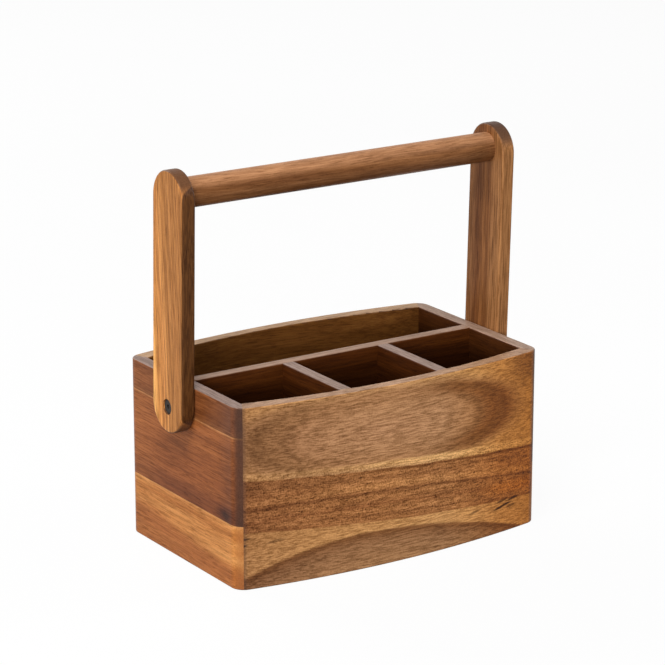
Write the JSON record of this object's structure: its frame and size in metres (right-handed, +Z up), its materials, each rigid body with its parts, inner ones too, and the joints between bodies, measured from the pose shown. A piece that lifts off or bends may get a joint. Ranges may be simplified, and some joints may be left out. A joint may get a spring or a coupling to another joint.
{
  "type": "utensil caddy with folding handle",
  "caption": "Bow-fronted wooden utensil caddy with divided compartments and a folding carrying handle: flat arms turn on bolts at the box's ends and hold a round grip bar.",
  "frame": {"origin": "on the table, under the middle of the box", "axes": "+X along the box's length and along the grip bar, -Y is the front with the row of short compartments, +Z up"},
  "size_m": [0.272, 0.1676, 0.2781],
  "materials": {
    "front_panel": "satin",
    "back_panel": "satin",
    "left_end_top_stave": "satin",
    "left_end_middle_stave": "satin",
    "left_end_bottom_stave": "satin",
    "right_end_top_stave": "satin",
    "right_end_middle_stave": "satin",
    "right_end_bottom_stave": "satin",
    "floor_panel": "satin",
    "long_divider": "satin",
    "left_cross_divider": "satin",
    "right_cross_divider": "satin",
    "corner_pins": "matte",
    "left_handle_upright": "satin",
    "right_handle_upright": "satin",
    "handle_bar": "satin",
    "pivot_bolts": "satin",
    "pivot_washers": "matte",
    "threaded_inserts": "satin"
  },
  "bodies": {
    "caddy_body": {"front_panel": "front_panel", "back_panel": "back_panel", "left_end_top_stave": "left_end_top_stave", "left_end_middle_stave": "left_end_middle_stave", "left_end_bottom_stave": "left_end_bottom_stave", "right_end_top_stave": "right_end_top_stave", "right_end_middle_stave": "right_end_middle_stave", "right_end_bottom_stave": "right_end_bottom_stave", "floor_panel": "floor_panel", "long_divider": "long_divider", "left_cross_divider": "left_cross_divider", "right_cross_divider": "right_cross_divider", "corner_pins": "corner_pins", "pivot_bolts": "pivot_bolts", "pivot_washers": "pivot_washers", "threaded_inserts": "threaded_inserts"},
    "carrying_handle": {"left_handle_upright": "left_handle_upright", "right_handle_upright": "right_handle_upright", "handle_bar": "handle_bar"}
  },
  "joints": [
    {"name": "handle_fold", "type": "hinge", "parent": "caddy_body", "child": "carrying_handle", "pos_m": [0, 0, 0.1129], "axis": [1, 0, 0], "range_deg": [-130.8, 127.2]}
  ]
}
